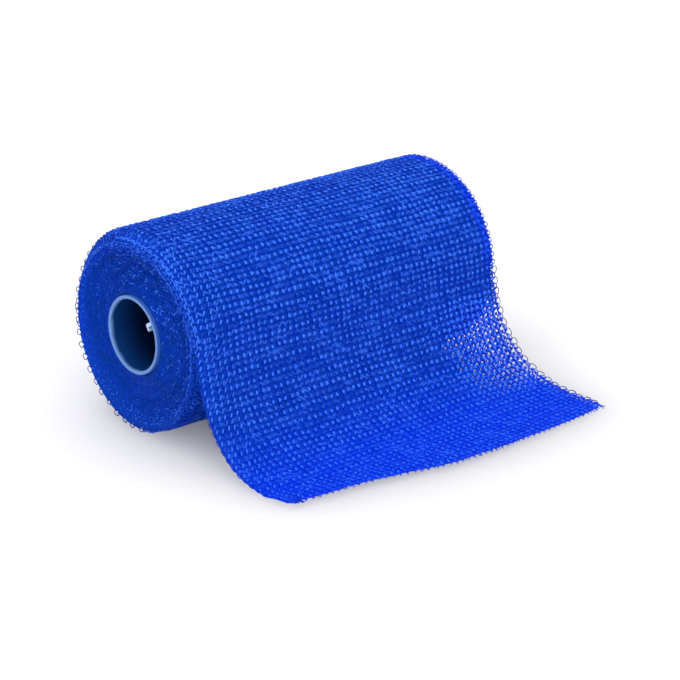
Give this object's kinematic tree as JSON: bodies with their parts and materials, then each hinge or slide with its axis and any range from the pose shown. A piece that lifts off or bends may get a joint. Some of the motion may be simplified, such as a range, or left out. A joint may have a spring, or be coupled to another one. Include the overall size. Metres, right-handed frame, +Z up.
{
  "type": "casting tape roll",
  "caption": "Roll of blue knitted casting tape wound on a plastic core, with its loose end drawn off and laid flat.",
  "frame": {"origin": "middle of the small flat spot on which the roll rests, below the roll's axis", "axes": "+X along the roll's axis, +Z up out of the surface it rests on, and the loose end lies towards -Y"},
  "size_m": [0.125, 0.1182, 0.0652],
  "materials": {
    "resin_tape": "knitted glass fibre in royal blue resin, slightly shiny on each loop",
    "core_plastic": "frosted, slightly translucent moulded plastic"
  },
  "bodies": {
    "root": {"tape_roll": "resin_tape", "loose_end": "resin_tape", "core": "core_plastic"}
  },
  "joints": []
}
